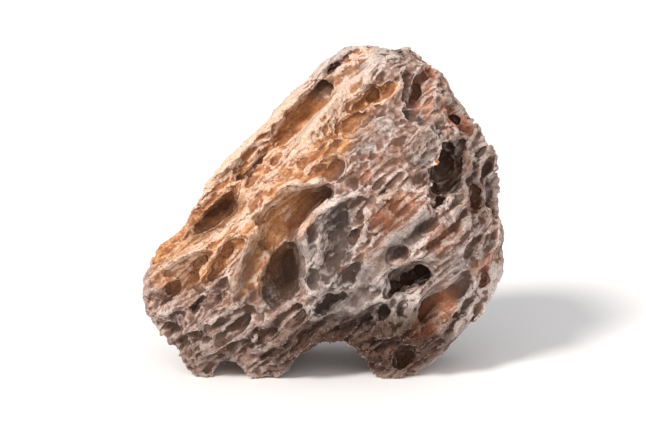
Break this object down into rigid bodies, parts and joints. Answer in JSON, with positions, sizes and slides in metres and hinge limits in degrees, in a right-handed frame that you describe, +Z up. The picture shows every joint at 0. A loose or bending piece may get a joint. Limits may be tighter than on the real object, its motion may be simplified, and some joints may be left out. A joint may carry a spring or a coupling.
{
  "type": "dragon stone",
  "caption": "Free-standing piece of porous dragon stone: a wedge that climbs along its grain, with scooped hollows, sharp ribs and an arch underneath.",
  "frame": {"origin": "middle of the stone's bounding box, on the surface that it stands on", "axes": "+X along the stone from its low end to its high, craggy end; +Y from the face that is shown to the back; +Z up"},
  "size_m": [0.2144, 0.1374, 0.1903],
  "materials": {
    "stone": null
  },
  "bodies": {
    "root": {"dragon_stone": "stone"}
  },
  "joints": []
}
